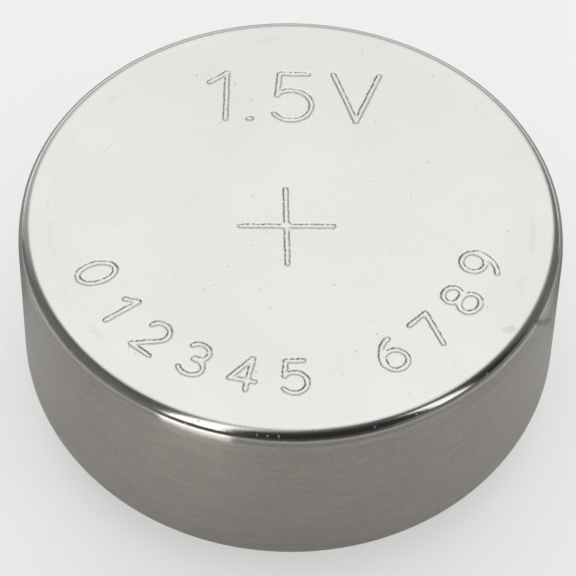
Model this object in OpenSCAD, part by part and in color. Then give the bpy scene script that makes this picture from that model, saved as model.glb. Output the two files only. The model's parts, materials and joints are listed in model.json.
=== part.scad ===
// Alkaline button cell, 11.6 x 5.4 mm: a deep-drawn can crimped over a sealed cap.
//
// Every piece is turned, so each is a section in the half plane beside the axis, revolved once.
// In a section, x is the radius and y is the height above the negative face.
// The cell rests on its negative cap, and the can's closed end, the positive face, is on top.
// Lengths are in millimetres.

/* [Cell] */
// Diameter of the can
can_d = 11.6; // [11:0.1:12.4]
// Height over both faces
cell_h = 5.4; // [5:0.1:6.4]
// How far the cap's face stands out of the crimp
cap_stand = 0.4; // [0.25:0.05:0.6]

/* [Can] */
// Sheet thickness of the can
can_t = 0.25; // [0.2:0.01:0.28]
// Outer radius of the edge round the positive face
face_edge_r = 0.3; // [0.29:0.01:0.4]
// Outer radius to which the open end is curled in
curl_r = 1.3; // [1.15:0.05:1.4]
// How far the curled lip reaches in from the can's side
lip_reach = 1; // [0.85:0.05:1.1]

/* [Cap] */
// Sheet thickness of the cap
cap_t = 0.2; // [0.16:0.01:0.24]
// Height of the cap, from its face to the top of its hem
cap_h = 2.45; // [2.3:0.05:2.8]
// Outer radius of the edge round the negative face
cap_edge_r = 0.4; // [0.3:0.05:0.5]
// Outer radius of the bend where the step turns up into the hemmed leg
step_r = 0.3; // [0.26:0.01:0.34]
// Radius of the hollow where the cap's wall meets the step
knee_r = 0.1; // [0.05:0.01:0.15]
// Gap between the two legs of the folded hem
hem_gap = 0.04; // [0.02:0.01:0.08]

/* [Seal] */
// Thickness of the seal between the can's side and the hem
seal_t = 0.26; // [0.22:0.01:0.3]
// Thickness of the seal between the crimped lip and the cap
seal_lip_t = 0.35; // [0.3:0.01:0.4]
// How far the seal's end lies behind the crimp
seal_recess = 0.1; // [0.05:0.01:0.2]
// Thickness of the seal's foot above the hem
foot_t = 0.4; // [0.3:0.05:0.5]
// How far the seal's foot reaches in from the can's inside
foot_reach = 0.95; // [0.8:0.05:1.2]

/* [Filling] */
// Thickness of the absorbent disc
absorbent_t = 0.3; // [0.2:0.05:0.4]
// Thickness of the barrier disc
barrier_t = 0.1; // [0.06:0.01:0.15]
// Gap between the discs' rims and the can
disc_gap = 0.05; // [0.02:0.01:0.1]

/* [Hidden] */
$fn = 96;

// The can: its side, its closed end and the curl at its open end
can_r = can_d / 2;
bore_r = can_r - can_t;
ceiling_z = cell_h - can_t;
crimp_z = cap_stand;
curl_z = crimp_z + curl_r;
lip_r = can_r - lip_reach;

// The cap: its wall, its step under the crimp, and the leg whose end is folded back as a hem
cap_r = lip_r - seal_lip_t;
step_z = crimp_z + can_t + seal_lip_t;
hem_r = bore_r - seal_t;
leg_r = hem_r - cap_t - hem_gap;
fold_r = cap_t + hem_gap / 2;
fold_x = leg_r + hem_gap / 2;
fold_z = cap_h - fold_r;

// The seal's foot, and what is stacked on it
foot_r = bore_r - foot_reach;
absorbent_z = cap_h + foot_t;
barrier_z = absorbent_z + absorbent_t;
cathode_z = barrier_z + barrier_t;

// Section of a turned block from y = bottom to y = top, with its outer edges rounded
module turned_section(r, bottom, top, lower_r = 0, upper_r = 0) {
    translate([0, bottom + lower_r]) square([r, top - upper_r - bottom - lower_r]);
    if (lower_r > 0) {
        translate([0, bottom]) square([r - lower_r, lower_r]);
        translate([r - lower_r, bottom + lower_r]) circle(lower_r);
    }
    if (upper_r > 0) {
        translate([0, top - upper_r]) square([r - upper_r, upper_r]);
        translate([r - upper_r, top - upper_r]) circle(upper_r);
    }
}

// Block from radius inner to radius outer and from y = bottom to y = top
module ring_section(inner, outer, bottom, top) {
    translate([inner, bottom]) square([outer - inner, top - bottom]);
}

// What the can takes up, measured inset from its outer surface: can_t gives its inside
module can_outline(inset) {
    turned_section(
        can_r - inset, crimp_z + inset, cell_h - inset, curl_r - inset, face_edge_r - inset
    );
}

// What the cap takes up to y = top, measured inset from its outer surface: cap_t gives its inside.
// The bend at the knee is hollow outside, so its radius grows by the inset.
module cap_outline(inset, top) {
    knee = knee_r + inset;
    turned_section(cap_r - inset, inset, top, cap_edge_r - inset);
    turned_section(leg_r - inset, step_z + inset, top, step_r - inset);
    difference() {
        translate([cap_r - inset, step_z + inset - knee]) square(knee);
        translate([cap_r - inset + knee, step_z + inset - knee]) circle(knee);
    }
}

// The can's closed end, its side and its curled lip
module can_section() {
    difference() {
        can_outline(0);
        can_outline(can_t);
        square([lip_r, curl_z]);
    }
}

// The cap's face, wall, step and leg, and the hem folded down outside the leg
module cap_section() {
    difference() {
        cap_outline(0, fold_z);
        cap_outline(cap_t, fold_z);
    }
    ring_section(hem_r - cap_t, hem_r, curl_z, fold_z);
    difference() {
        translate([fold_x, fold_z]) circle(fold_r);
        translate([fold_x, fold_z]) circle(hem_gap / 2);
        translate([fold_x - fold_r, fold_z - fold_r]) square([2 * fold_r, fold_r]);
    }
}

// Everything within the cap, its hem and the hole in the seal's foot
module within_cap() {
    cap_outline(0, fold_z);
    ring_section(0, hem_r, curl_z, fold_z);
    ring_section(0, fold_x, fold_z, cap_h);
    translate([fold_x, fold_z]) circle(fold_r);
    ring_section(0, foot_r, cap_h, absorbent_z);
}

// The seal fills the can's inside up to the top of its foot, and shows between lip and cap
module gasket_section() {
    difference() {
        union() {
            intersection() {
                can_outline(can_t);
                square([can_r, absorbent_z]);
            }
            ring_section(cap_r, lip_r, crimp_z + seal_recess, curl_z);
        }
        within_cap();
    }
}

// The gel fills the cap, and the hole in the seal's foot up to the absorbent disc
module gel_section() {
    cap_outline(cap_t, cap_h);
    ring_section(0, foot_r, cap_h, absorbent_z);
}

module positive_can() {
    color([0.74, 0.73, 0.71]) rotate_extrude() can_section();
}

module sealing_gasket() {
    color([0.9, 0.89, 0.84]) rotate_extrude() gasket_section();
}

module negative_cap() {
    color([0.8, 0.79, 0.77]) rotate_extrude() cap_section();
}

module anode_gel() {
    color([0.5, 0.52, 0.55]) rotate_extrude() gel_section();
}

module absorbent_disc() {
    color([0.93, 0.91, 0.85])
        translate([0, 0, absorbent_z]) cylinder(h = absorbent_t, r = bore_r - disc_gap);
}

module barrier_disc() {
    color([0.82, 0.87, 0.88])
        translate([0, 0, barrier_z]) cylinder(h = barrier_t, r = bore_r - disc_gap);
}

// The pellet is pressed into the can's closed end, so it takes on the can's inside
module cathode_pellet() {
    color([0.17, 0.16, 0.17])
        rotate_extrude() turned_section(bore_r, cathode_z, ceiling_z, 0, face_edge_r - can_t);
}

positive_can();
sealing_gasket();
negative_cap();
anode_gel();
absorbent_disc();
barrier_disc();
cathode_pellet();
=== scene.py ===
"""Looks of an alkaline button cell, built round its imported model.

The can, the cap and the seal are turned surfaces, worked out as arrays from their sections.
The positive face carries its marking as engraved grooves: their depth is a function of the
distance to the strokes, sampled on a grid whose points are moved onto the grooves' edges.
Sections are in millimetres, as (radius, height) pairs, and meshes are in metres.
"""

from __future__ import annotations

import json
import logging
import math
from collections.abc import Iterable
from dataclasses import dataclass, field
from enum import Enum

import bmesh
import bpy
import numpy as np
from mathutils import Matrix, Vector
from mathutils.geometry import delaunay_2d_cdt

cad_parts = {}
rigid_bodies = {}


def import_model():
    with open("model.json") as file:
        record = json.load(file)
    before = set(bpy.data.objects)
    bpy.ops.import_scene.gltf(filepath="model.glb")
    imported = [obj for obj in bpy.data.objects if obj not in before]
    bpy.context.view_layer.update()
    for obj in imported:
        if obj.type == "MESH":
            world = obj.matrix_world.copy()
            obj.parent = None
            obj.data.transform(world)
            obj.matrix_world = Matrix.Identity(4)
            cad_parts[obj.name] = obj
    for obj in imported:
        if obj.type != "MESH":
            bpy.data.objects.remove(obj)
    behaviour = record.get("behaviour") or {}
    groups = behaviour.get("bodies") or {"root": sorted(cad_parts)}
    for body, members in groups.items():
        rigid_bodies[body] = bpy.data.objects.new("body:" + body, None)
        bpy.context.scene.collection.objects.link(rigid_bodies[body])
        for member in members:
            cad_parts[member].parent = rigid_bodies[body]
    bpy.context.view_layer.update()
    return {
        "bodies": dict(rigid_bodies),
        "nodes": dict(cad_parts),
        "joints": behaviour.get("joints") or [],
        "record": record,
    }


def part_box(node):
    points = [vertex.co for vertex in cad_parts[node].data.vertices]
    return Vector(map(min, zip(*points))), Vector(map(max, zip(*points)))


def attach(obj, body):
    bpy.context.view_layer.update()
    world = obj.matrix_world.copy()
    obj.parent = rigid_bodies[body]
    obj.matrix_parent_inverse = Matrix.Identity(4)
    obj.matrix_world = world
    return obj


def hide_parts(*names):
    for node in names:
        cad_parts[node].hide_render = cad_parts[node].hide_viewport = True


MM = 0.001
BODY = "root"

# In millimetres: a radius that counts as none, a distance at which points are one, and the
# distance over which a finished mesh is welded.
ON_AXIS = 1e-9
SAME_POINT = 1e-6
WELD = 0.0005

Pair = tuple[float, float]
Color = tuple[float, float, float]
Socket = bpy.types.NodeSocket

log = logging.getLogger("button_cell")


# ---------------------------------------------------------------- outlines


def arc(centre: Pair, radii: Pair | float, start: float, end: float, steps: int) -> np.ndarray:
    """Points on an ellipse's arc: centre + (rx cos t, ry sin t), with t from start to end.

    Args:
        centre: The ellipse's centre.
        radii: Its half widths along x and y, or a circle's radius.
        start: First angle, in degrees, anticlockwise from x.
        end: Last angle, in degrees.
        steps: Number of equal steps between them.

    Returns:
        An array of steps + 1 points.
    """
    t = np.radians(np.linspace(start, end, steps + 1))
    wide, high = np.broadcast_to(radii, 2)
    return np.column_stack((centre[0] + wide * np.cos(t), centre[1] + high * np.sin(t)))


def joined(*stretches: Iterable) -> np.ndarray:
    """One path through all stretches, with no point given twice in a row.

    Args:
        stretches: Points or arrays of points, in their order along the path.

    Returns:
        An array of the path's points.
    """
    points = np.vstack([np.atleast_2d(np.asarray(s, float)) for s in stretches])
    step = np.linalg.norm(np.diff(points, axis=0), axis=1)
    return points[np.concatenate(([True], step > SAME_POINT))]


# ---------------------------------------------------------------- meshes


@dataclass
class Surface:
    """A mesh in the making: points in millimetres, and faces as rows of point numbers."""

    points: np.ndarray
    faces: list[list[int]]

    def plus(self, other: Surface) -> Surface:
        """Both surfaces as one, not yet welded.

        Args:
            other: The surface whose points and faces come after this one's.

        Returns:
            The joint surface.
        """
        offset = len(self.points)
        moved = [[offset + k for k in face] for face in other.faces]
        return Surface(np.vstack((self.points, other.points)), self.faces + moved)


def turned(section: np.ndarray, segments: int, closed: bool) -> Surface:
    """Turns a section about the z axis: (r, z) becomes (r sin a, -r cos a, z) at each angle a.

    A section that ends on the axis is closed there by a fan of triangles.

    Args:
        section: Points (radius, height). Only its ends may lie on the axis.
        segments: Number of steps round the axis.
        closed: Whether the last point joins the first.

    Returns:
        The turned surface.
    """
    rings = section[section[:, 0] > ON_AXIS]
    angle = 2 * math.pi * np.arange(segments) / segments
    radius, height = rings[:, :1], np.repeat(rings[:, 1:], segments, axis=1)
    points = np.stack((radius * np.sin(angle), -radius * np.cos(angle), height), axis=-1)
    number = np.arange(len(rings) * segments).reshape(len(rings), segments)
    if closed:
        number = np.vstack((number, number[:1]))
    after = np.roll(number, -1, axis=1)
    quads = np.stack((number[:-1], after[:-1], after[1:], number[1:]), axis=-1)
    surface = Surface(points.reshape(-1, 3), quads.reshape(-1, 4).tolist())
    for end in (0, -1):
        if section[end, 0] <= ON_AXIS:
            pole = Surface(np.array([[0.0, 0.0, section[end, 1]]]), [])
            tip = len(surface.points)
            surface = surface.plus(pole)
            ring = number[end]
            fan = np.stack((ring, np.roll(ring, -1), np.full(segments, tip)), axis=-1)
            surface.faces.extend(fan.tolist())
    return surface


def shown(name: str, data: bpy.types.ID) -> bpy.types.Object:
    """Puts a mesh, a lamp or a camera into the scene.

    Args:
        name: Name of its object.
        data: The mesh, lamp or camera.

    Returns:
        The new object, at the origin.
    """
    made = bpy.data.objects.new(name, data)
    bpy.context.scene.collection.objects.link(made)
    return made


def piece(name: str, surface: Surface, crease: float = 35.0) -> bpy.types.Object:
    """Makes a Blender object of a surface: welded, facing outwards, smooth but for its creases.

    Args:
        name: Name of the object and its mesh.
        surface: The surface, in millimetres.
        crease: Angle in degrees over which an edge stays sharp.

    Returns:
        The new object, at the origin.
    """
    mesh = bpy.data.meshes.new(name)
    mesh.from_pydata((surface.points * MM).tolist(), [], surface.faces)
    work = bmesh.new()
    work.from_mesh(mesh)
    bmesh.ops.remove_doubles(work, verts=work.verts, dist=WELD * MM)
    bmesh.ops.recalc_face_normals(work, faces=work.faces)
    work.to_mesh(mesh)
    work.free()
    mesh.shade_smooth()
    mesh.set_sharp_from_angle(angle=math.radians(crease))
    return shown(name, mesh)


# ---------------------------------------------------------------- marking


@dataclass(frozen=True)
class Glyph:
    """A character of one unit of height: its width, and its strokes as paths."""

    width: float
    strokes: tuple[np.ndarray, ...]


def figure_six() -> tuple[np.ndarray, ...]:
    """A round bowl, and a tail that rises along its left side and leans over it.

    Returns:
        Both strokes.
    """
    return (
        arc((0.31, 0.31), 0.31, 0, 360, 28),
        arc((0.62, 0.33), (0.62, 0.67), 103, 178, 12),
    )


def half_turn(strokes: tuple[np.ndarray, ...], width: float) -> tuple[np.ndarray, ...]:
    """The strokes turned by 180 degrees about the middle of their box."""
    return tuple(np.array((width, 1.0)) - stroke for stroke in strokes)


GLYPHS: dict[str, Glyph] = {
    "0": Glyph(0.62, (arc((0.31, 0.5), (0.31, 0.5), 90, 450, 36),)),
    "1": Glyph(0.30, (joined((0.0, 0.78), (0.28, 1.0), (0.28, 0.0)),)),
    "2": Glyph(
        0.60, (joined(arc((0.30, 0.71), 0.29, 165, -38, 20), (0.0, 0.0), (0.60, 0.0)),)
    ),
    "3": Glyph(
        0.60,
        (
            arc((0.28, 0.755), (0.27, 0.245), 150, -90, 20),
            arc((0.28, 0.265), (0.32, 0.265), 90, -150, 22),
        ),
    ),
    "4": Glyph(0.66, (joined((0.47, 0.0), (0.47, 1.0), (0.0, 0.29), (0.66, 0.29)),)),
    "5": Glyph(
        0.62,
        (
            joined(
                (0.55, 1.0), (0.10, 1.0), (0.06, 0.53), arc((0.29, 0.32), (0.33, 0.32), 122, -145, 24)
            ),
        ),
    ),
    "6": Glyph(0.62, figure_six()),
    "7": Glyph(0.58, (joined((0.0, 1.0), (0.58, 1.0), (0.20, 0.0)),)),
    "8": Glyph(
        0.62,
        (
            arc((0.31, 0.765), (0.25, 0.235), 0, 360, 24),
            arc((0.31, 0.265), (0.31, 0.265), 0, 360, 28),
        ),
    ),
    "9": Glyph(0.62, half_turn(figure_six(), 0.62)),
    "V": Glyph(0.74, (joined((0.0, 1.0), (0.37, 0.0), (0.74, 1.0)),)),
    ".": Glyph(0.04, (joined((0.0, 0.02), (0.04, 0.02)),)),
    "+": Glyph(1.0, (joined((0.0, 0.5), (1.0, 0.5)), joined((0.492, 1.02), (0.508, -0.02)))),
}


@dataclass(frozen=True)
class Groove:
    """Section of the engraved line, in millimetres.

    Attributes:
        floor: Half the width of its flat floor.
        mouth: Half its width at the face.
        depth: Depth of the floor under the face.
        junction: Difference in distance within which two strokes run together.
        wobble: How far its edges wave to either side.
    """

    floor: float = 0.022
    mouth: float = 0.074
    depth: float = 0.025
    junction: float = 0.09
    wobble: float = 0.006


@dataclass(frozen=True)
class Marking:
    """What is engraved on the positive face: the polarity sign, the voltage and plain numbers.

    Lengths are in millimetres from the face's centre, and angles in degrees from +X.
    """

    sign_centre: Pair = (-0.096, -0.25)
    sign_size: float = 1.97
    sign_turn: float = 1.4
    upper: str = "1.5V"
    upper_height: float = 1.36
    upper_base: float = 2.74
    upper_gap: float = 0.47
    lower: str = "012345 6789"
    lower_height: float = 0.82
    lower_radius: float = 4.68
    lower_centre: Pair = (-0.11, 0.02)
    lower_first: float = -157.0
    lower_pitch: float = 14.1

    def strokes(self) -> list[np.ndarray]:
        """Paths of all strokes on the face."""
        return self._sign() + self._upper() + self._lower()

    def _sign(self) -> list[np.ndarray]:
        """The plus sign: its glyph centred, scaled and turned.

        Returns:
            The sign's strokes.
        """
        turn = math.radians(self.sign_turn)
        across = np.array((math.cos(turn), math.sin(turn)))
        up = np.array((-math.sin(turn), math.cos(turn)))
        frame = self.sign_size * np.vstack((across, up))
        return [np.asarray(self.sign_centre) + (s - 0.5) @ frame for s in GLYPHS["+"].strokes]

    def _upper(self) -> list[np.ndarray]:
        """The straight line of text, centred over the sign.

        Returns:
            The strokes, from left to right.
        """
        widths = [GLYPHS[c].width * self.upper_height for c in self.upper]
        left = -(sum(widths) + self.upper_gap * (len(widths) - 1)) / 2
        placed = []
        for character, width in zip(self.upper, widths, strict=True):
            start = np.array((left, self.upper_base))
            placed += [start + s * self.upper_height for s in GLYPHS[character].strokes]
            left += width + self.upper_gap
        return placed

    def _lower(self) -> list[np.ndarray]:
        """The numbers round the near side, each upright towards the centre of their circle.

        Returns:
            The strokes, anticlockwise. A space leaves a place empty.
        """
        placed = []
        for place, character in enumerate(self.lower):
            if character == " ":
                continue
            angle = math.radians(self.lower_first + self.lower_pitch * place)
            outward = np.array((math.cos(angle), math.sin(angle)))
            across = np.array((-outward[1], outward[0]))
            foot = np.asarray(self.lower_centre) + self.lower_radius * outward
            frame = self.lower_height * np.vstack((across, -outward))
            middle = np.array((GLYPHS[character].width / 2, 0.0))
            placed += [foot + (s - middle) @ frame for s in GLYPHS[character].strokes]
        return placed


def distance_to_path(x: np.ndarray, y: np.ndarray, path: np.ndarray) -> np.ndarray:
    """Distance of each point to a path: the least over its segments.

    On a segment from a to b the nearest point is a + t (b - a), with t, the share along it of
    the point's projection, held between 0 and 1.

    Args:
        x: The points' first coordinates.
        y: Their second coordinates, in the same shape.
        path: The path's points.

    Returns:
        The distances, in the shape of x.
    """
    best = np.full(x.shape, np.inf)
    for a, b in zip(path[:-1], path[1:], strict=True):
        along = b - a
        share = ((x - a[0]) * along[0] + (y - a[1]) * along[1]) / (along @ along)
        share = np.clip(share, 0.0, 1.0)
        away = np.hypot(x - a[0] - share * along[0], y - a[1] - share * along[1])
        best = np.minimum(best, away)
    return best


def smooth_least(a: np.ndarray, b: np.ndarray, width: float) -> np.ndarray:
    """The lesser of two distances, rounded off where they differ by less than width."""
    near = np.clip(1.0 - np.abs(a - b) / width, 0.0, 1.0)
    return np.minimum(a, b) - near * near * width / 4


@dataclass
class EngravedFace:
    """The can's flat face with grooves cut in it, as a sheet of triangles.

    Attributes:
        radius: Radius of the flat face.
        height: Height of the face.
        marking: What is engraved.
        groove: Section of the grooves.
        segments: Number of points round the rim.
        pitch: Spacing of the grid near the grooves.
        reach: How far from its box a stroke is measured.
        least_slope: Least squared slope of the distance that a point's move is worked out with.
        bare: Distance from the strokes at which the plain rings of points start.
        ring_pitch: Spacing of those rings, and of the points on them.
        rim_rings: How far inside the rim the last two rings lie, with as many points as the rim.
    """

    radius: float
    height: float
    marking: Marking
    groove: Groove
    segments: int
    pitch: float = 0.0125
    reach: float = 0.35
    least_slope: float = 0.3
    bare: float = 0.16
    ring_pitch: float = 0.3
    rim_rings: Pair = (0.1, 0.03)

    def field(self, x: np.ndarray, y: np.ndarray) -> np.ndarray:
        """Distance of each grid point to the nearest stroke, blended where strokes meet.

        Each stroke is measured only within reach of its own box, and the edges get a slight
        waviness from four sines.

        Args:
            x: The grid's first coordinates.
            y: Its second coordinates.

        Returns:
            The distances, and a large one wherever no stroke is within reach.
        """
        distance = np.full(x.shape, self.radius)
        for stroke in self.marking.strokes():
            low, high = stroke.min(0) - self.reach, stroke.max(0) + self.reach
            columns = slice(*np.searchsorted(x[0], (low[0], high[0])))
            rows = slice(*np.searchsorted(y[:, 0], (low[1], high[1])))
            near = rows, columns
            own = distance_to_path(x[near], y[near], stroke)
            distance[near] = smooth_least(distance[near], own, self.groove.junction)
        slow = np.sin(14 * x + 9 * y) + np.sin(21 * y - 17 * x + 1.0)
        fast = np.sin(39 * x + 43 * y + 2.0) + np.sin(57 * x - 51 * y)
        return distance + self.groove.wobble * (slow + fast) / 2

    def groove_points(self) -> tuple[np.ndarray, np.ndarray]:
        """Points in and beside the grooves, and their distance to the strokes.

        Points near one of the levels (floor edge, middle of the wall, mouth and the flat beside
        it) are moved along the field's gradient until they lie on it, and of points that then
        nearly meet only one is kept.

        Returns:
            The points, and the distance of each.
        """
        count = int(self.radius / self.pitch)
        line = self.pitch * np.arange(-count, count + 1)
        x, y = np.meshgrid(line, line)
        distance = self.field(x, y)
        slope_y, slope_x = np.gradient(distance, self.pitch)
        wall = (self.groove.mouth - self.groove.floor) / 2
        levels = self.groove.floor + wall * np.arange(4)
        inside = np.hypot(x, y) < self.radius - self.rim_rings[0]
        keep = (distance < levels[-1] + wall / 2) & inside
        x, y, distance = x[keep], y[keep], distance[keep]
        slope_x, slope_y = slope_x[keep], slope_y[keep]
        nearest = levels[np.abs(distance[:, None] - levels).argmin(axis=1)]
        moves = np.abs(distance - nearest) <= wall / 2
        steepness = np.maximum(slope_x**2 + slope_y**2, self.least_slope)
        shift = np.where(moves, nearest - distance, 0.0) / steepness
        points = np.column_stack((x + shift * slope_x, y + shift * slope_y))
        distance = np.where(moves, nearest, distance)
        cell = 0.4 * self.pitch
        _, first = np.unique(np.round(points / cell), axis=0, return_index=True)
        return points[first], distance[first]

    def plain_points(self) -> np.ndarray:
        """Rings of points over the rest of the face, closer together at its rim.

        Returns:
            The points that lie clear of the grooves.
        """
        centre = (0.0, 0.0)
        last = self.radius - 2 * self.rim_rings[0]
        rings = []
        for r in np.arange(self.ring_pitch, last, self.ring_pitch):
            steps = max(12, int(2 * math.pi * r / self.ring_pitch))
            rings.append(arc(centre, r, 0, 360, steps)[:-1])
        for gap in self.rim_rings:
            r = self.radius - gap
            rings.append(arc(centre, r, 0, 360, self.segments)[:-1])
        points = np.vstack(rings)
        near = np.full(len(points), np.inf)
        for stroke in self.marking.strokes():
            near = np.minimum(near, distance_to_path(points[:, 0], points[:, 1], stroke))
        return points[near > self.bare]

    def depth(self, distance: np.ndarray) -> np.ndarray:
        """Depth at a distance from a stroke: full on the floor, easing to none at the mouth.

        With t the share of the way from mouth to floor, the depth is t^2 (3 - 2 t) of the whole.

        Args:
            distance: Distances from the strokes.

        Returns:
            The depths.
        """
        share = (self.groove.mouth - distance) / (self.groove.mouth - self.groove.floor)
        share = np.clip(share, 0.0, 1.0)
        return self.groove.depth * share**2 * (3 - 2 * share)

    def surface(self) -> Surface:
        """The face as one triangulated sheet, whose rim matches the turned side point by point.

        Returns:
            The face's surface.
        """
        cut, distance = self.groove_points()
        plain = self.plain_points()
        angle = 2 * math.pi * np.arange(self.segments) / self.segments
        rim = self.radius * np.column_stack((np.sin(angle), -np.cos(angle)))
        flat = np.vstack((rim, plain, cut))
        sunk = np.concatenate((np.zeros(len(rim) + len(plain)), self.depth(distance)))
        places, _, faces, origins, _, _ = delaunay_2d_cdt(
            [Vector(p) for p in flat.tolist()], [], [], 0, SAME_POINT, True
        )
        source = np.array([origin[0] for origin in origins])
        points = np.column_stack((np.array([p[:] for p in places]), self.height - sunk[source]))
        return Surface(points, [list(face) for face in faces])


# ---------------------------------------------------------------- shader nodes


class NodeSheet:
    """A node tree with short ways to add nodes and to feed them."""

    def __init__(self, tree: bpy.types.NodeTree) -> None:
        """Takes the tree that is written to."""
        self.tree = tree

    def feed(self, socket: Socket, value: object) -> None:
        """Links a socket, or sets a plain value on an input.

        Args:
            socket: The input.
            value: A socket to link, or a number, vector or colour to set.
        """
        if isinstance(value, bpy.types.NodeSocket):
            self.tree.links.new(value, socket)
        else:
            socket.default_value = value

    def add(self, kind: str, feeds: dict | None = None, **settings: object) -> bpy.types.Node:
        """Adds a node, sets its properties, and feeds its inputs.

        Args:
            kind: The node's type.
            feeds: What goes to its inputs, by their names or numbers.
            settings: Its properties.

        Returns:
            The node.
        """
        node = self.tree.nodes.new(kind)
        for name, value in settings.items():
            setattr(node, name, value)
        for name, value in (feeds or {}).items():
            self.feed(node.inputs[name], value)
        return node

    def group(self, tree: bpy.types.NodeTree) -> bpy.types.Node:
        """Adds a node that holds a node group."""
        return self.add("ShaderNodeGroup", node_tree=tree)

    def math(self, operation: str, *values: object) -> Socket:
        """A Math node's result."""
        node = self.add("ShaderNodeMath", dict(enumerate(values)), operation=operation)
        return node.outputs[0]

    def times(self, first: object, second: object) -> Socket:
        """The product of two numbers."""
        return self.math("MULTIPLY", first, second)

    def vector(self, operation: str, *values: object, out: str = "Vector") -> Socket:
        """A Vector Math node's vector, or with Value as out its number."""
        node = self.add("ShaderNodeVectorMath", dict(enumerate(values)), operation=operation)
        return node.outputs[out]

    def scaled(self, vector: object, factor: object) -> Socket:
        """A vector times a number."""
        node = self.add("ShaderNodeVectorMath", {0: vector, "Scale": factor}, operation="SCALE")
        return node.outputs["Vector"]

    def dot(self, first: object, second: object) -> Socket:
        """The dot product of two vectors."""
        return self.vector("DOT_PRODUCT", first, second, out="Value")

    def length(self, vector: object) -> Socket:
        """A vector's length."""
        return self.vector("LENGTH", vector, out="Value")

    def axes(self, vector: object) -> dict[str, Socket]:
        """A vector's parts by the names X, Y and Z."""
        node = self.add("ShaderNodeSeparateXYZ", {0: vector})
        return {name: node.outputs[name] for name in "XYZ"}

    def span(self, value: object, source: Pair, target: Pair = (0.0, 1.0)) -> Socket:
        """A value mapped smoothly from the source range to the target range, held at the ends.

        Args:
            value: The value.
            source: Where it starts and ends to change the result.
            target: The result at both.

        Returns:
            The result.
        """
        node = self.add(
            "ShaderNodeMapRange",
            {0: value, 1: source[0], 2: source[1], 3: target[0], 4: target[1]},
            interpolation_type="SMOOTHSTEP",
        )
        return node.outputs["Result"]

    def blend(self, share: object, first: object, second: object) -> Socket:
        """A colour between first and second."""
        node = self.add(
            "ShaderNodeMix", {0: share, 6: opaque(first), 7: opaque(second)}, data_type="RGBA"
        )
        return node.outputs[2]

    def place(self) -> tuple[Socket, Socket, Socket]:
        """Where a point of the surface is, in millimetres.

        Returns:
            Its position, its distance from the axis, and its height.
        """
        coordinates = self.add("ShaderNodeTexCoord").outputs["Object"]
        place = self.scaled(coordinates, 1.0 / MM)
        radius = self.length(self.vector("MULTIPLY", place, (1.0, 1.0, 0.0)))
        return place, radius, self.axes(place)["Z"]

    def noise(self, place: object, scale: object, detail: float = 2.0) -> Socket:
        """Smooth noise from 0 to 1 at a number of cells per millimetre."""
        node = self.add("ShaderNodeTexNoise", {"Vector": place, "Scale": scale, "Detail": detail})
        return node.outputs["Fac"]


def opaque(color: object) -> object:
    """A colour of three shares with full alpha added, or a socket as it is."""
    return (*color, 1.0) if isinstance(color, tuple) and len(color) == 3 else color


class Effect(Enum):
    """The shared effects, each a node group that is built once."""

    TURNED_LINES = "turned lines"
    FINE_GRAIN = "fine grain"
    SPECKS = "specks"
    CLOUDS = "clouds"
    STREAK = "streak"

    def group(self) -> bpy.types.NodeTree:
        """The effect's node group, built on first use."""
        found = bpy.data.node_groups.get(self.value)
        return found or EFFECT_BUILDERS[self](self.value)


def new_group(name: str, inputs: dict, output: str) -> tuple[NodeSheet, dict[str, Socket], Socket]:
    """Starts a shader node group with number or vector inputs and one number as output.

    Args:
        name: Name of the group.
        inputs: Names and first values of its inputs.
        output: Name of its output.

    Returns:
        Its sheet, the sockets that carry its inputs, and the socket that its result goes to.
    """
    tree = bpy.data.node_groups.new(name, "ShaderNodeTree")
    for title, value in inputs.items():
        kind = "NodeSocketVector" if isinstance(value, tuple) else "NodeSocketFloat"
        socket = tree.interface.new_socket(title, in_out="INPUT", socket_type=kind)
        socket.default_value = value
    tree.interface.new_socket(output, in_out="OUTPUT", socket_type="NodeSocketFloat")
    sheet = NodeSheet(tree)
    given = sheet.add("NodeGroupInput")
    result = sheet.add("NodeGroupOutput")
    return sheet, {title: given.outputs[title] for title in inputs}, result.inputs[output]


def turned_lines(name: str) -> bpy.types.NodeTree:
    """Fine lines round the axis, as forming leaves them.

    The noise is read at (x / r, y / r, r + z), with the last stretched, so that it changes fast
    across the lines and slowly along them, and has no seam.

    Args:
        name: Name of the group.

    Returns:
        The group.
    """
    sheet, given, result = new_group(name, {"Lines per mm": 14.0, "Changes round": 2.0}, "Height")
    place, radius, height = sheet.place()
    around = sheet.vector("NORMALIZE", sheet.vector("MULTIPLY", place, (1.0, 1.0, 0.0)))
    around = sheet.scaled(around, given["Changes round"])
    across = sheet.times(sheet.math("ADD", radius, height), given["Lines per mm"])
    across = sheet.add("ShaderNodeCombineXYZ", {"Z": across}).outputs["Vector"]
    sheet.feed(result, sheet.noise(sheet.vector("ADD", around, across), scale=1.0, detail=3.0))
    return sheet.tree


def fine_grain(name: str) -> bpy.types.NodeTree:
    """Even grain: the mean of a coarser and a finer noise.

    Args:
        name: Name of the group.

    Returns:
        The group.
    """
    sheet, given, result = new_group(name, {"Grains per mm": 20.0}, "Height")
    place, _, _ = sheet.place()
    coarse = sheet.noise(place, given["Grains per mm"], detail=2.0)
    finer = sheet.times(given["Grains per mm"], 3.1)
    fine = sheet.noise(place, finer, detail=1.0)
    sheet.feed(result, sheet.times(sheet.math("ADD", coarse, fine), 0.5))
    return sheet.tree


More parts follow.
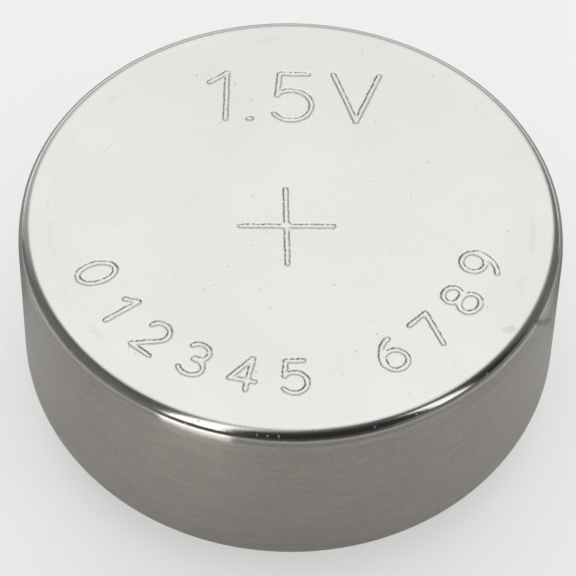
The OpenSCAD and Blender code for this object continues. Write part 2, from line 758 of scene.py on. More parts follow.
def specks(name: str) -> bpy.types.NodeTree:
    """Sparse dots: cells of a Voronoi pattern whose random value is high, near their points.

    Args:
        name: Name of the group.

    Returns:
        The group.
    """
    inputs = {"Cells per mm": 2.0, "Share": 0.1, "Size": 0.06}
    sheet, given, result = new_group(name, inputs, "Mask")
    place, _, _ = sheet.place()
    cells = sheet.add("ShaderNodeTexVoronoi", {"Vector": place, "Scale": given["Cells per mm"]})
    chance = sheet.add("ShaderNodeSeparateColor", {0: cells.outputs["Color"]}).outputs["Red"]
    chosen = sheet.math("GREATER_THAN", chance, sheet.math("SUBTRACT", 1.0, given["Share"]))
    ragged = sheet.times(sheet.noise(place, scale=30.0), given["Size"])
    share = sheet.math("DIVIDE", cells.outputs["Distance"], sheet.times(ragged, 2.0))
    near = sheet.span(share, (0.55, 1.0), (1.0, 0.0))
    sheet.feed(result, sheet.times(chosen, near))
    return sheet.tree


def clouds(name: str) -> bpy.types.NodeTree:
    """Broad soft patches, as handling and tarnish leave them.

    Args:
        name: Name of the group.

    Returns:
        The group.
    """
    sheet, given, result = new_group(name, {"Patches per mm": 0.5}, "Value")
    place, _, _ = sheet.place()
    patches = sheet.noise(place, given["Patches per mm"], detail=4.0)
    sheet.feed(result, sheet.span(patches, (0.3, 0.7)))
    return sheet.tree


def streak(name: str) -> bpy.types.NodeTree:
    """A rubbed mark along a line: strong on the line and none at its width, with ragged edges.

    The nearest point on the line is start + t (end - start), with t the share along it of the
    place's projection, held between 0 and 1.

    Args:
        name: Name of the group.

    Returns:
        The group.
    """
    inputs = {"Start": (0.0, 0.0, 0.0), "End": (1.0, 0.0, 0.0), "Width": 0.1}
    sheet, given, result = new_group(name, inputs, "Mask")
    place, _, _ = sheet.place()
    line = sheet.vector("SUBTRACT", given["End"], given["Start"])
    from_start = sheet.vector("SUBTRACT", place, given["Start"])
    along = sheet.dot(from_start, line)
    share = sheet.math("DIVIDE", along, sheet.dot(line, line))
    share = sheet.add("ShaderNodeClamp", {0: share}).outputs[0]
    distance = sheet.length(sheet.vector("SUBTRACT", from_start, sheet.scaled(line, share)))
    ragged = sheet.times(sheet.noise(place, scale=9.0, detail=4.0), given["Width"])
    sheet.feed(result, sheet.span(sheet.math("SUBTRACT", ragged, distance), (0.0, 0.06)))
    return sheet.tree


EFFECT_BUILDERS = {
    Effect.TURNED_LINES: turned_lines,
    Effect.FINE_GRAIN: fine_grain,
    Effect.SPECKS: specks,
    Effect.CLOUDS: clouds,
    Effect.STREAK: streak,
}


class Dressing(NodeSheet):
    """A new material's nodes, with the Principled shader ready to be fed."""

    def __init__(self, name: str, **constants: object) -> None:
        """Makes the material.

        Args:
            name: Its name.
            constants: Plain values for its shader's own sockets, by their names.
        """
        self.material = bpy.data.materials.new(name)
        self.material.use_nodes = True
        super().__init__(self.material.node_tree)
        self.shader = self.tree.nodes["Principled BSDF"]
        for title, value in constants.items():
            self.shader.inputs[title.replace("_", " ")].default_value = value

    def effect(self, effect: Effect, **values: object) -> Socket:
        """Places an effect with its own values.

        Args:
            effect: The effect.
            values: Values of its inputs, by their names.

        Returns:
            What it puts out.
        """
        node = self.group(effect.group())
        for title, value in values.items():
            node.inputs[title.replace("_", " ")].default_value = value
        return node.outputs[0]

    def bump(self, height: Socket, depth: float, under: Socket | None = None) -> Socket:
        """A normal from a height.

        Args:
            height: The height, from 0 to 1.
            depth: What its full range stands for, in millimetres.
            under: A normal that it is laid over.

        Returns:
            The normal.
        """
        feeds = {"Height": height, "Distance": depth * MM, "Strength": 1.0}
        if under is not None:
            feeds["Normal"] = under
        return self.add("ShaderNodeBump", feeds).outputs["Normal"]

    def mixed(self, share: Socket, first: Socket, second: Socket) -> Socket:
        """A shader between first and second."""
        return self.add("ShaderNodeMixShader", {0: share, 1: first, 2: second}).outputs[0]

    def shine(self, **feeds: object) -> None:
        """Feeds the shader's inputs by name."""
        for title, value in feeds.items():
            self.feed(self.shader.inputs[title.replace("_", " ")], value)


# ---------------------------------------------------------------- finishes


@dataclass(frozen=True)
class Mark:
    """A rubbed mark from one place to another, in millimetres, with its width and strength."""

    start: tuple[float, float, float]
    end: tuple[float, float, float]
    width: float
    strength: float


@dataclass(frozen=True)
class NickelFinish:
    """Nickel plating on drawn steel: a satin flat end, a bright edge round it, and a satin side, which
    on the can is given a darker colour than the flat end's as painted shade.

    Attributes:
        name: Name of the material.
        flat_color: Colour of the flat end.
        side_color: Colour of the side. On the can it is the plating darkened as painted shade, for the
            dim surroundings that the side reflects.
        flat_height: Height of the flat end, in millimetres.
        edge_start: Radius at which its rounded edge starts.
        edge_size: Radius of that edge.
        edge_band: Where the edge sets in, outwards from its start, in shares of its size.
        side_band: Where the side takes over, below the flat end, in shares of the edge's size.
        ease_band: Where the edge's gloss ends below the flat end, in the same shares.
        flat_dulling: Brightness of the mottle's darker patches on the flat end.
        side_dulling: Brightness of the darker streaks on the side.
        flat_roughness: Roughness of the flat end.
        edge_roughness: Roughness of the edge.
        side_roughness: Roughness of the side.
        line_depth: Depth of the fine lines round the axis.
        grain_depth: Depth of the even grain.
        peel_depth: Depth of the coarser relief on the edge.
        pit_depth: Depth of the small pits on the edge.
        speck_depth: Depth of the sparse dots.
        rub_radius: Radius of the ring on the flat end that handling has dulled in places.
        speck_color: Colour of the sparse dots.
        rub_color: Colour of the dulled ring.
        mark_color: Colour of the rubbed marks.
        marks: Single rubbed marks.
    """

    name: str
    flat_color: Color
    side_color: Color
    flat_height: float
    edge_start: float
    edge_size: float
    edge_band: Pair = (0.2, 0.6)
    side_band: Pair = (0.5, 1.0)
    ease_band: Pair = (1.1, 1.8)
    flat_dulling: float = 0.96
    side_dulling: float = 0.84
    flat_roughness: float = 0.3
    edge_roughness: float = 0.13
    side_roughness: float = 0.34
    line_depth: float = 0.0005
    grain_depth: float = 0.0003
    peel_depth: float = 0.0008
    pit_depth: float = 0.0024
    speck_depth: float = 0.001
    rub_radius: float = 5.12
    speck_color: Color = (0.2, 0.19, 0.18)
    rub_color: Color = (0.45, 0.44, 0.42)
    mark_color: Color = (0.1, 0.095, 0.09)
    marks: tuple[Mark, ...] = ()

    def material(self) -> bpy.types.Material:
        """Colour, roughness and relief by zone, with clouds, specks, lines and grain over them.

        Returns:
            The new material.
        """
        sheet = Dressing(self.name, Metallic=1.0)
        _, radius, height = sheet.place()
        below = sheet.math("ABSOLUTE", sheet.math("SUBTRACT", height, self.flat_height))
        side = sheet.span(below, self.scaled(self.side_band))
        outside = sheet.span(radius, self.scaled(self.edge_band, self.edge_start))
        edge = sheet.times(outside, sheet.math("SUBTRACT", 1.0, side))
        clouds = sheet.effect(Effect.CLOUDS, Patches_per_mm=0.35)
        specks = sheet.effect(Effect.SPECKS, Cells_per_mm=2.6, Share=0.7, Size=0.075)
        grain = sheet.effect(Effect.FINE_GRAIN, Grains_per_mm=26.0)
        color = self.plating(sheet, side, clouds)
        color = sheet.blend(sheet.times(specks, 0.4), color, self.speck_color)
        sheet.shine(
            Base_Color=self.worn(sheet, radius, color),
            Roughness=self.roughness(sheet, below, outside, clouds, grain),
            Normal=self.relief(sheet, below, edge, specks, grain),
        )
        return sheet.material

    def scaled(self, band: Pair, start: float = 0.0) -> Pair:
        """A band in millimetres, from its shares of the edge's size."""
        return (start + band[0] * self.edge_size, start + band[1] * self.edge_size)

    def plating(self, sheet: Dressing, side: Socket, clouds: Socket) -> Socket:
        """The plating: a fine mottle on the flat end, and streaks round the side over the side's
        colour, which on the can is painted shade.

        Args:
            sheet: The material's nodes.
            side: 1 on the side, and 0 on the flat end.
            clouds: The broad patches.

        Returns:
            Its colour.
        """
        mottle = sheet.span(sheet.effect(Effect.FINE_GRAIN, Grains_per_mm=12.0), (0.3, 0.7))
        streaks = sheet.effect(Effect.TURNED_LINES, Lines_per_mm=7.0, Changes_round=6.0)
        streaks = sheet.math("MULTIPLY_ADD", mottle, 0.35, sheet.times(streaks, 0.65))
        dull_flat = tuple(self.flat_dulling * share for share in self.flat_color)
        dull_side = tuple(self.side_dulling * share for share in self.side_color)
        patches = sheet.math("MULTIPLY_ADD", clouds, 0.3, mottle)
        flat = sheet.blend(patches, self.flat_color, dull_flat)
        # On the can the side's colour and its dull copy carry painted shade: the plating darkened for
        # the dim surroundings that the side reflects. The streaks over it are the drawn finish.
        drawn = sheet.blend(sheet.span(streaks, (0.25, 0.75)), dull_side, self.side_color)
        return sheet.blend(side, flat, drawn)

    def worn(self, sheet: Dressing, radius: Socket, color: Socket) -> Socket:
        """The colour with a dulled ring on the flat end and single rubbed marks.

        Args:
            sheet: The material's nodes.
            radius: Distance from the axis.
            color: The colour under the wear.

        Returns:
            The worn colour.
        """
        ring = sheet.math("ABSOLUTE", sheet.math("SUBTRACT", radius, self.rub_radius))
        streaky = sheet.span(sheet.effect(Effect.CLOUDS, Patches_per_mm=1.1), (0.6, 1.0))
        rubbed = sheet.times(sheet.span(ring, (0.0, 0.12), (0.2, 0.0)), streaky)
        color = sheet.blend(rubbed, color, self.rub_color)
        for mark in self.marks:
            streak = sheet.effect(Effect.STREAK, Start=mark.start, End=mark.end, Width=mark.width)
            color = sheet.blend(sheet.times(streak, mark.strength), color, self.mark_color)
        return color

    def roughness(
        self, sheet: Dressing, below: Socket, outside: Socket, clouds: Socket, grain: Socket
    ) -> Socket:
        """Satin on the flat end and the side, and smooth on the edge and where it eases out.

        Args:
            sheet: The material's nodes.
            below: Distance from the flat end's height.
            outside: 1 from the edge outwards, and 0 on the flat end.
            clouds: The broad patches.
            grain: The even grain.

        Returns:
            The roughness.
        """
        eased = sheet.span(below, self.scaled(self.ease_band))
        rough = sheet.span(eased, (0.0, 1.0), (self.flat_roughness, self.side_roughness))
        smooth = sheet.times(outside, sheet.math("SUBTRACT", 1.0, eased))
        change = sheet.times(smooth, self.edge_roughness - self.flat_roughness)
        rough = sheet.math("ADD", rough, change)
        rough = sheet.math("MULTIPLY_ADD", grain, 0.06, sheet.math("SUBTRACT", rough, 0.03))
        return sheet.math("MULTIPLY_ADD", clouds, 0.03, rough)

    def relief(
        self, sheet: Dressing, below: Socket, edge: Socket, specks: Socket, grain: Socket
    ) -> Socket:
        """Lines round the axis, grain and specks all over, and a coarser relief on the edge.

        Args:
            sheet: The material's nodes.
            below: Distance from the flat end's height.
            edge: 1 on the rounded edge.
            specks: The sparse dots.
            grain: The even grain.

        Returns:
            The normal.
        """
        lines = sheet.effect(Effect.TURNED_LINES, Lines_per_mm=16.0, Changes_round=2.5)
        lines = sheet.times(lines, sheet.span(below, (0.02, 0.3), (0.25, 1.0)))
        peel = sheet.effect(Effect.FINE_GRAIN, Grains_per_mm=9.0)
        pits = sheet.effect(Effect.SPECKS, Cells_per_mm=9.0, Share=0.3, Size=0.28)
        normal = sheet.bump(lines, self.line_depth)
        normal = sheet.bump(grain, self.grain_depth, normal)
        normal = sheet.bump(sheet.times(specks, -1.0), self.speck_depth, normal)
        normal = sheet.bump(sheet.times(peel, edge), self.peel_depth, normal)
        return sheet.bump(sheet.times(pits, edge), self.pit_depth, normal)


@dataclass(frozen=True)
class NylonFinish:
    """Natural nylon, with a film of sealant that pools in patches."""

    name: str = "seal_nylon"
    color: Color = (0.80, 0.78, 0.71)
    sealant_color: Color = (0.62, 0.58, 0.50)
    line_depth: float = 0.0015
    grain_depth: float = 0.002

    def material(self) -> bpy.types.Material:
        """Pale plastic whose gloss follows the patches of sealant.

        Returns:
            The new material.
        """
        sheet = Dressing(self.name, Subsurface_Weight=0.15, Subsurface_Scale=0.0004)
        film = sheet.effect(Effect.CLOUDS, Patches_per_mm=1.3)
        grain = sheet.effect(Effect.FINE_GRAIN, Grains_per_mm=14.0)
        lines = sheet.effect(Effect.TURNED_LINES, Lines_per_mm=10.0, Changes_round=3.0)
        color = sheet.blend(sheet.times(film, 0.6), self.color, self.sealant_color)
        roughness = sheet.span(film, (0.0, 1.0), (0.5, 0.26))
        normal = sheet.bump(lines, self.line_depth, sheet.bump(grain, self.grain_depth))
        sheet.shine(Base_Color=color, Roughness=roughness, Normal=normal)
        return sheet.material


class Filling(Enum):
    """The fillings, each with its two colours, grains per millimetre, roughness and relief."""

    ZINC_GEL = ("zinc_gel", (0.30, 0.31, 0.33), (0.44, 0.45, 0.47), 16.0, 0.38, 0.02)
    ABSORBENT_FELT = ("absorbent_felt", (0.84, 0.82, 0.76), (0.70, 0.67, 0.60), 9.0, 0.9, 0.03)
    BARRIER_FILM = ("barrier_film", (0.70, 0.76, 0.78), (0.62, 0.69, 0.72), 1.5, 0.25, 0.002)
    MANGANESE_PELLET = (
        "manganese_pellet", (0.05, 0.047, 0.047), (0.10, 0.095, 0.09), 22.0, 0.75, 0.012
    )

    def material(self) -> bpy.types.Material:
        """Two colours mixed by the grain, with patches in the roughness and the grain as relief.

        Returns:
            The new material.
        """
        name, color, other, grains, roughness, relief = self.value
        sheet = Dressing(name)
        grain = sheet.effect(Effect.FINE_GRAIN, Grains_per_mm=grains)
        patches = sheet.effect(Effect.CLOUDS, Patches_per_mm=0.8)
        tint = sheet.blend(sheet.span(grain, (0.35, 0.65)), color, other)
        rough = sheet.span(patches, (0.0, 1.0), (0.85 * roughness, min(1.0, 1.1 * roughness)))
        sheet.shine(Base_Color=tint, Roughness=rough, Normal=sheet.bump(grain, relief))
        return sheet.material


# ---------------------------------------------------------------- the cell


def stand_for(made: bpy.types.Object, node: str, material: bpy.types.Material) -> None:
    """Dresses a piece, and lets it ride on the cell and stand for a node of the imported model.

    Args:
        made: The piece.
        node: The node that it replaces.
        material: Its material.
    """
    made.data.materials.append(material)
    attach(made, BODY)
    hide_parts(node)
    log.info("%s: %d points, %d faces", made.name, len(made.data.vertices), len(made.data.polygons))


@dataclass
class Can:
    """The drawn can: engraved positive face, rounded edge, side, and the lip curled over the seal.

    Lengths are in millimetres.
    """

    radius: float
    top: float
    sheet: float = 0.25
    edge: float = 0.3
    edge_lean: float = 11.0
    edge_run: float = 0.42
    curl: float = 1.3
    crimp: float = 0.4
    lip: float = 1.0
    lip_edge: float = 0.04
    segments: int = 384
    marking: Marking = field(default_factory=Marking)
    groove: Groove = field(default_factory=Groove)
    finish: NickelFinish = field(init=False)

    def __post_init__(self) -> None:
        """Chooses the plating, whose zones follow the face, with painted shade in the side's colour."""
        self.finish = NickelFinish(
            "can_nickel",
            (0.80, 0.787, 0.757),
            # Side colour: the same nickel as the flat end, darkened as painted shade for the dim
            # surroundings that the side reflects.
            (0.385, 0.363, 0.331),
            self.top,
            self.radius - self.edge,
            self.edge,
            marks=(
                Mark((5.18, -2.61, self.top - 0.12), (5.53, -1.74, self.top - 1.1), 0.2, 0.75),
                Mark((4.5, -2.92, self.top), (4.64, -2.86, self.top), 0.22, 0.16),
            ),
        )

    @property
    def hub(self) -> Pair:
        """Centre of the lip's curl."""
        return (self.radius - self.curl, self.crimp + self.curl)

    def section(self) -> np.ndarray:
        """Path from the face's rim down the side, round the lip, and up the inside to the axis.

        The edge is a tight arc that stops short of upright by a small lean, which a far wider arc
        takes up over a short run down the side. Turning by an angle a, the wide arc has the radius
        run / sin a and moves sideways by run * tan(a / 2), and the tight arc takes the rest of the
        edge's width, which is its own radius times cos a. The curl is a quarter circle of the curl
        radius about (radius - curl, crimp + curl), cut off at the lip's radius, and its inside is
        the same circle less the sheet's thickness.

        Returns:
            The path's points.
        """
        hub = self.hub
        inner = self.curl - self.sheet
        reach = self.curl - self.lip
        outer_end = math.degrees(math.acos((reach + self.lip_edge) / self.curl))
        inner_end = math.degrees(math.acos((reach + self.lip_edge) / inner))
        lean = math.radians(self.edge_lean)
        wide = self.edge_run / math.sin(lean)
        tight = (self.edge - self.edge_run * math.tan(lean / 2)) / math.cos(lean)
        shoulder = (self.radius - self.edge, self.top - tight)
        ease = (self.radius - wide, shoulder[1] + tight * math.sin(lean) - self.edge_run)
        inner_shoulder = (self.radius - self.edge, self.top - self.edge)
        small = self.edge - self.sheet
        lip_low = hub[1] - math.sqrt(self.curl**2 - reach**2) + self.lip_edge
        lip_high = hub[1] - math.sqrt(inner**2 - reach**2) - self.lip_edge
        side = np.linspace(ease[1], hub[1], 13)
        return joined(
            arc(shoulder, tight, 90, self.edge_lean, 18),
            arc(ease, wide, self.edge_lean, 0, 8),
            np.column_stack((np.full(len(side), self.radius), side)),
            arc(hub, self.curl, 0, -outer_end, 26),
            (self.radius - self.lip, lip_low),
            (self.radius - self.lip, lip_high),
            arc(hub, inner, -inner_end, 0, 14),
            arc(inner_shoulder, small, 0, 90, 3),
            (0.0, self.top - self.sheet),
        )

    def build(self) -> None:
        """Turns the shell, lays the engraved face on it, and dresses both as one piece."""
        shell = turned(self.section(), self.segments, closed=False)
        face = EngravedFace(self.radius - self.edge, self.top, self.marking, self.groove, self.segments)
        made = piece("can_shell", shell.plus(face.surface()))
        stand_for(made, "positive_can", self.finish.material())


@dataclass
class Cap:
    """The stepped negative cap, whose leg is folded back on itself as a hem inside the seal.

    Lengths are in millimetres.
    """

    radius: float = 4.45
    sheet: float = 0.2
    height: float = 2.45
    edge: float = 0.4
    step: float = 1.0
    step_bend: float = 0.3
    knee: float = 0.1
    leg: float = 5.05
    hem: float = 5.29
    hem_low: float = 1.7
    hem_gap: float = 0.04
    segments: int = 288

    @property
    def fold(self) -> Pair:
        """Centre of the fold over the hem."""
        return (self.leg + self.hem_gap / 2, self.height - self.sheet - self.hem_gap / 2)

    @property
    def turn(self) -> Pair:
        """Centre of the bend from the lower wall out to the step."""
        return (self.radius + self.knee, self.step - self.knee)

    @property
    def bend(self) -> Pair:
        """Centre of the bend from the step up to the leg."""
        return (self.leg - self.step_bend, self.step + self.step_bend)

    def section(self) -> np.ndarray:
        """Path from the axis along the outside, round the hem, and back along the inside.

        Each bend is a quarter circle, whose radius is the sheet's thickness more or less inside.

        Returns:
            The path's points.
        """
        fold, turn, bend = self.fold, self.turn, self.bend
        wide, narrow = self.sheet + self.hem_gap / 2, self.hem_gap / 2
        foot = (self.radius - self.edge, self.edge)
        foot_in, bend_in = self.edge - self.sheet, self.step_bend - self.sheet
        turn_in = self.knee + self.sheet
        return joined(
            (0.0, 0.0),
            (0.5 * foot[0], 0.0),
            arc(foot, self.edge, -90, 0, 16),
            arc(turn, self.knee, 180, 90, 6),
            arc(bend, self.step_bend, -90, 0, 8),
            arc(fold, narrow, 180, 0, 4),
            (self.hem - self.sheet, self.hem_low),
            (self.hem, self.hem_low),
            arc(fold, wide, 0, 180, 14),
            arc(bend, bend_in, 0, -90, 6),
            arc(turn, turn_in, 90, 180, 8),
            arc(foot, foot_in, 0, -90, 8),
            (0.0, self.sheet),
        )

    def build(self) -> None:
        """Turns the cap and dresses it in bright plating."""
        finish = NickelFinish(
            "cap_nickel",
            (0.78, 0.765, 0.735),
            (0.74, 0.725, 0.695),
            0.0,
            self.radius - self.edge,
            self.edge,
            flat_roughness=0.2,
            edge_roughness=0.15,
            side_roughness=0.2,
        )
        made = piece("cap_cup", turned(self.section(), self.segments, closed=False))
        stand_for(made, "negative_cap", finish.material())


@dataclass
class Seal:
    """The nylon seal: a foot over the cap's hem, a sleeve round it, and a ring that shows.

    Lengths are in millimetres.
    """

    can: Can
    cap: Cap
    recess: float = 0.1
    foot: float = 0.4
    foot_reach: float = 0.95
    bulge: float = 0.035
    segments: int = 192

    def section(self) -> np.ndarray:
        """Closed path: the ring between lip and cap, up the can's inside, and down the cap's outside.

        The ring's underside swells as half an ellipse, whose height is the bulge.

        Returns:
            The path's points.
        """
        can, cap = self.can, self.cap
        inner, lip = can.curl - can.sheet, can.radius - can.lip
        lip_angle = math.degrees(math.acos((lip - can.hub[0]) / inner))
        bore = can.radius - can.sheet
        top = cap.height + self.foot
        wide = cap.sheet + cap.hem_gap / 2
        low = can.crimp + self.recess
        middle = ((cap.radius + lip) / 2, low)
        return joined(
            arc(middle, ((lip - cap.radius) / 2, self.bulge), 180, 360, 10),
            arc(can.hub, inner, -lip_angle, 0, 12),
            (bore, top),
            (bore - self.foot_reach, top),
            (bore - self.foot_reach, cap.height),
            arc(cap.fold, wide, 90, 0, 6),
            (cap.hem, cap.hem_low),
            (cap.leg, cap.hem_low),
            arc(cap.bend, cap.step_bend, 0, -90, 8),
            arc(cap.turn, cap.knee, 90, 180, 6),
        )

    def build(self) -> None:
        """Turns the seal and dresses it in nylon."""
        made = piece("seal_ring", turned(self.section(), self.segments, closed=True))
        stand_for(made, "sealing_gasket", NylonFinish().material())


@dataclass
class Fillings:
    """The four inner pieces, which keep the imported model's own shapes."""

    nodes: dict[str, Filling] = field(
        default_factory=lambda: {
            "anode_gel": Filling.ZINC_GEL,
            "absorbent_disc": Filling.ABSORBENT_FELT,
            "barrier_disc": Filling.BARRIER_FILM,
            "cathode_pellet": Filling.MANGANESE_PELLET,
        }
    )

    def dress(self, nodes: dict) -> None:
        """Gives each inner node its filling's material.

        Args:
            nodes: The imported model's objects by their nodes' names.
        """
        for name, filling in self.nodes.items():
            mesh = nodes[name].data
            mesh.materials.clear()
            mesh.materials.append(filling.material())
            log.info("%s: dressed as %s", name, filling.name.lower())


# ---------------------------------------------------------------- studio


@dataclass(frozen=True)
class SoftPanel:
    """A rectangular lamp that faces the cell's axis.

    Azimuth is in degrees from -Y towards +X, and its span is the width as seen from the cell. The
    panel reaches from a low to a high elevation over a level distance in metres, either upright
    or leaning over the cell. The radiance is what a mirror would show: an area lamp's power is
    its radiance times its area times pi.
    """

    name: str
    azimuth: float
    azimuth_span: float
    low: float
    high: float
    radiance: float
    distance: float = 0.2
    upright: bool = True
    shines_in_metal: bool = True
    lights_paper: bool = True

    def build(self) -> None:
        """Makes the lamp, hangs it and turns it.

        An upright panel's height is distance * (tan high - tan low). A leaning one stands square
        to the line to its middle, so that its height is 2 * distance * tan((high - low) / 2).
        """
        low, high, azimuth = (math.radians(a) for a in (self.low, self.high, self.azimuth))
        level = Vector((math.sin(azimuth), -math.cos(azimuth), 0.0))
        rise = Vector((0.0, 0.0, 1.0))
        if self.upright:
            middle = level + rise * (math.tan(low) + math.tan(high)) / 2
            height = math.tan(high) - math.tan(low)
            facing = level
        else:
            middle = level * math.cos((low + high) / 2) + rise * math.sin((low + high) / 2)
            height = 2 * math.tan((high - low) / 2)
            facing = middle
        lamp = bpy.data.lights.new(self.name, "AREA")
        lamp.shape = "RECTANGLE"
        lamp.size = 2 * self.distance * math.tan(math.radians(self.azimuth_span / 2))
        lamp.size_y = self.distance * height
        lamp.energy = self.radiance * lamp.size * lamp.size_y * math.pi
        made = shown(self.name, lamp)
        made.location = middle * self.distance
        made.rotation_euler = (-facing).to_track_quat("-Z", "Y").to_euler()
        made.visible_camera = False
        made.visible_glossy = self.shines_in_metal
        made.visible_diffuse = self.lights_paper
        log.info("lamp %s: %.3f W", self.name, lamp.energy)


@dataclass
class Studio:
    """A pale floor, soft panels round the cell, two cards for its reflections, and a dim room.

    Both cards are seen by the metal alone. The flag is a low card bent round the cell's front, and
    the mat is a flat ring round its foot. Lengths are in metres, but for the pairs between whose
    two distances from the axis or the floor a card's colour changes, which are in millimetres.
    """

    floor_color: Color = (0.86, 0.86, 0.85)
    floor_half_width: float = 0.7
    floor_gap: float = 0.00001
    floor_white: float = 0.5
    front_color: Color = (0.026, 0.026, 0.026)
    side_color: Color = (0.15, 0.15, 0.15)
    overhead_color: Color = (0.2, 0.2, 0.2)
    back_color: Color = (0.45, 0.45, 0.45)
    panels: tuple[SoftPanel, ...] = (
        SoftPanel("key_panel", 180, 52, 36, 89, 1.11, 0.35, upright=False),
        SoftPanel("left_panel", -31, 20.5, 12, 88, 1.5, 0.06, lights_paper=False),
        SoftPanel("left_card", -26, 21, 6, 15, 1.6, 0.0105, lights_paper=False),
        SoftPanel("right_panel", 59.5, 15, 14, 54, 1.25),
        SoftPanel("back_strip", 180, 100, 1, 12, 0.7, lights_paper=False),
        SoftPanel("floor_front", 0, 60, 40, 88, 1.55, 0.2, upright=False, shines_in_metal=False),
        SoftPanel("floor_left", -135, 40, 28, 68, 0.75, 0.12, upright=False, shines_in_metal=False),
        SoftPanel("floor_right", 135, 40, 28, 68, 0.75, 0.12, upright=False, shines_in_metal=False),
    )
    flag_radius: float = 0.012
    flag_height: float = 0.0062
    flag_reach: float = 105.0
    flag_change: Pair = (1.2, 4.6)
    flag_turn: Pair = (4.5, 8.0)
    flag_color: Color = (0.08, 0.08, 0.08)
    flag_side_color: Color = (0.3, 0.3, 0.3)
    flag_foot_color: Color = (0.75, 0.75, 0.75)
    flag_steps: int = 48
    mat_inner: float = 0.0046
    mat_outer: float = 0.06
    mat_color: Color = (0.32, 0.32, 0.32)
    mat_behind: Pair = (0.0, 3.0)
    mat_aside: Pair = (8.0, 10.0)
    mat_aside_share: float = 0.3
    mat_segments: int = 96

    def build(self) -> None:
        """Lays the floor, hangs the panels and sets the room's colour and the view's."""
        self.floor()
        self.flag()
        self.mat()
        for panel in self.panels:
            panel.build()
        self.room()
        bpy.context.scene.view_settings.view_transform = "Standard"

    def room(self) -> None:
        """The room: dark in front and above, lighter to both sides, and lightest low behind.

        Each zone is made of smooth steps along the direction's X, Y and Z.
        """
        world = bpy.data.worlds.new("room")
        world.use_nodes = True
        sheet = NodeSheet(world.node_tree)
        toward = sheet.axes(sheet.add("ShaderNodeTexCoord").outputs["Generated"])
        overhead = sheet.math("POWER", sheet.math("MAXIMUM", toward["Z"], 0.0), 12.0)
        color = sheet.blend(overhead, self.front_color, self.overhead_color)
        on_left = sheet.span(toward["X"], (-0.9, -0.35), (1.0, 0.0))
        on_right = sheet.span(toward["X"], (0.2, 0.5))
        on_right = sheet.times(on_right, sheet.span(toward["Y"], (-0.1, 0.3)))
        color = sheet.blend(sheet.math("MAXIMUM", on_left, on_right), color, self.side_color)
        not_right = sheet.span(toward["X"], (0.2, 0.6), (1.0, 0.0))
        behind = sheet.times(sheet.span(toward["Y"], (0.3, 0.7)), not_right)
        low = sheet.span(toward["Z"], (0.4, 0.62), (1.0, 0.0))
        far_left = sheet.span(toward["X"], (-0.55, -0.25), (1.0, 0.0))
        behind = sheet.times(behind, sheet.math("MAXIMUM", low, far_left))
        color = sheet.blend(behind, color, self.back_color)
        sheet.feed(world.node_tree.nodes["Background"].inputs["Color"], color)
        bpy.context.scene.world = world

    def floor(self) -> None:
        """A wide sheet just under the cell, clear to the camera from below."""
        half = self.floor_half_width
        outline = [(-half, -half), (half, -half), (half, half), (-half, half)]
        mesh = bpy.data.meshes.new("floor")
        mesh.from_pydata([(x, y, -self.floor_gap) for x, y in outline], [], [(0, 1, 2, 3)])
        mesh.materials.append(self.paper())
        floor = shown("floor", mesh)
        log.info("floor: %.1f m wide", 2 * half)

    def flag(self) -> None:
        """A low grey card bent round the cell's front, which only the metal sees.

        Its points are (r sin a, -r cos a, z), with a within the reach to both sides of -Y.
        """
        angle = np.radians(np.linspace(-self.flag_reach, self.flag_reach, self.flag_steps + 1))
        level = self.flag_radius * np.column_stack((np.sin(angle), -np.cos(angle)))
        low = np.column_stack((level, np.zeros(len(angle))))
        high = np.column_stack((level, np.full(len(angle), self.flag_height)))
        first = np.arange(self.flag_steps)
        above = first + len(angle)
        faces = np.column_stack((first, above, above + 1, first + 1))
        mesh = bpy.data.meshes.new("flag")
        mesh.from_pydata(np.vstack((low, high)).tolist(), [], faces.tolist())
        sheet = Dressing("flag_card", Roughness=0.9)
        place, _, height = sheet.place()
        aside = sheet.span(sheet.math("ABSOLUTE", sheet.axes(place)["X"]), self.flag_turn)
        color = sheet.blend(aside, self.flag_color, self.flag_side_color)
        foot = sheet.span(height, self.flag_change, (1.0, 0.0))
        sheet.shine(Base_Color=sheet.blend(foot, color, self.flag_foot_color))
        self.hang(mesh, sheet.material)

    def mat(self) -> None:
        """A flat ring round the cell's foot, which only the metal sees: grey but for its front."""
        height = -0.5 * self.floor_gap
        section = np.array(((self.mat_outer, height), (self.mat_inner, height)))
        ring = turned(section / MM, self.mat_segments, closed=False)
        mesh = bpy.data.meshes.new("mat")
        mesh.from_pydata((ring.points * MM).tolist(), [], ring.faces)
        sheet = Dressing("mat_card", Roughness=0.9)
        place = sheet.axes(sheet.place()[0])
        aside = sheet.math("ABSOLUTE", place["X"])
        aside = sheet.span(aside, self.mat_aside, (0.0, self.mat_aside_share))
        share = sheet.math("MAXIMUM", sheet.span(place["Y"], self.mat_behind), aside)
        sheet.shine(Base_Color=sheet.blend(share, self.floor_color, self.mat_color))
        self.hang(mesh, sheet.material)

    def hang(self, mesh: bpy.types.Mesh, material: bpy.types.Material) -> None:
        """Places a card that only reflections show.

        Args:
            mesh: The card's mesh, whose name it takes.
            material: Its material.
        """
        mesh.materials.append(material)
        card = shown(mesh.name, mesh)
        card.visible_camera = card.visible_diffuse = card.visible_shadow = False
        log.info("card: %s", card.name)

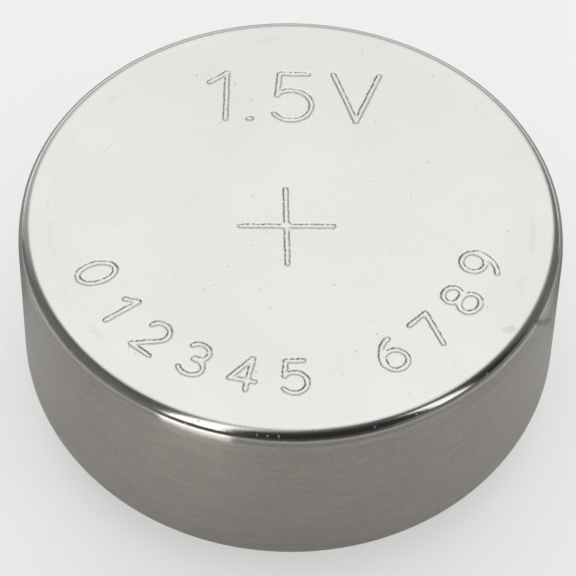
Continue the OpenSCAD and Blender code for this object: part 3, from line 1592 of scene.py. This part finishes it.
    def paper(self) -> bpy.types.Material:
        """Matt paper with a faint mottle, see-through for camera rays that come from below.

        Camera, glossy and transmission rays see it mixed with plain white.

        Returns:
            The new material.
        """
        sheet = Dressing("floor_paper", Roughness=0.9, Specular_IOR_Level=0.2)
        mottle = sheet.effect(Effect.CLOUDS, Patches_per_mm=0.02)
        darker = tuple(0.985 * share for share in self.floor_color)
        sheet.shine(Base_Color=sheet.blend(mottle, self.floor_color, darker))
        path = sheet.add("ShaderNodeLightPath").outputs
        seen = sheet.math("ADD", path["Is Camera Ray"], path["Is Glossy Ray"])
        seen = sheet.math("ADD", seen, path["Is Transmission Ray"])
        share = sheet.times(seen, self.floor_white)
        white = sheet.add("ShaderNodeEmission", {"Color": (1.0, 1.0, 1.0, 1.0), "Strength": 1.0})
        bright = sheet.mixed(share, sheet.shader.outputs[0], white.outputs[0])
        below = sheet.add("ShaderNodeNewGeometry").outputs["Backfacing"]
        below = sheet.times(path["Is Camera Ray"], below)
        clear = sheet.add("ShaderNodeBsdfTransparent").outputs["BSDF"]
        output = sheet.tree.nodes["Material Output"]
        sheet.feed(output.inputs["Surface"], sheet.mixed(below, bright, clear))
        return sheet.material


@dataclass
class StudioCamera:
    """The camera: a long lens that looks down on the marked face from the front.

    It stands opposite the face's centre at an elevation and a distance, faces it, and is then
    turned a little right, up and about its own axis. Angles are in degrees, and the distance is
    in millimetres.
    """

    target: Vector
    elevation: float = 50.065
    distance: float = 69.563
    lens: float = 205.08
    pan: float = -0.0281
    tilt: float = -1.2444
    roll: float = 1.3261

    def build(self) -> None:
        """Makes the scene's camera: its axes are right, up and backwards as matrix columns."""
        elevation = math.radians(self.elevation)
        back = Vector((0.0, -math.cos(elevation), math.sin(elevation)))
        side = Vector((1.0, 0.0, 0.0))
        rise = side.cross(-back)
        forward = -back + math.tan(math.radians(self.pan)) * side
        forward = (forward + math.tan(math.radians(self.tilt)) * rise).normalized()
        side = forward.cross(Vector((0.0, 0.0, 1.0))).normalized()
        rise = side.cross(forward)
        turn = math.radians(self.roll)
        right = math.cos(turn) * side + math.sin(turn) * rise
        up = math.cos(turn) * rise - math.sin(turn) * side
        lens = bpy.data.cameras.new("camera")
        lens.lens = self.lens
        lens.clip_start, lens.clip_end = 0.001, 2.0
        camera = shown("camera", lens)
        place = Matrix((right, up, -forward)).transposed().to_4x4()
        place.translation = self.target + back * self.distance * MM
        camera.matrix_world = place
        bpy.context.scene.camera = camera


def main() -> None:
    logging.basicConfig(level=logging.INFO, format="%(name)s: %(message)s")
    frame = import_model()
    low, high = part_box("positive_can")
    can = Can(radius=high[0] / MM, top=high[2] / MM, crimp=low[2] / MM)
    cap = Cap()
    StudioCamera(Vector((0.0, 0.0, high[2]))).build()
    Studio().build()
    can.build()
    cap.build()
    Seal(can, cap).build()
    Fillings().dress(frame["nodes"])


if __name__ == "__main__":
    main()
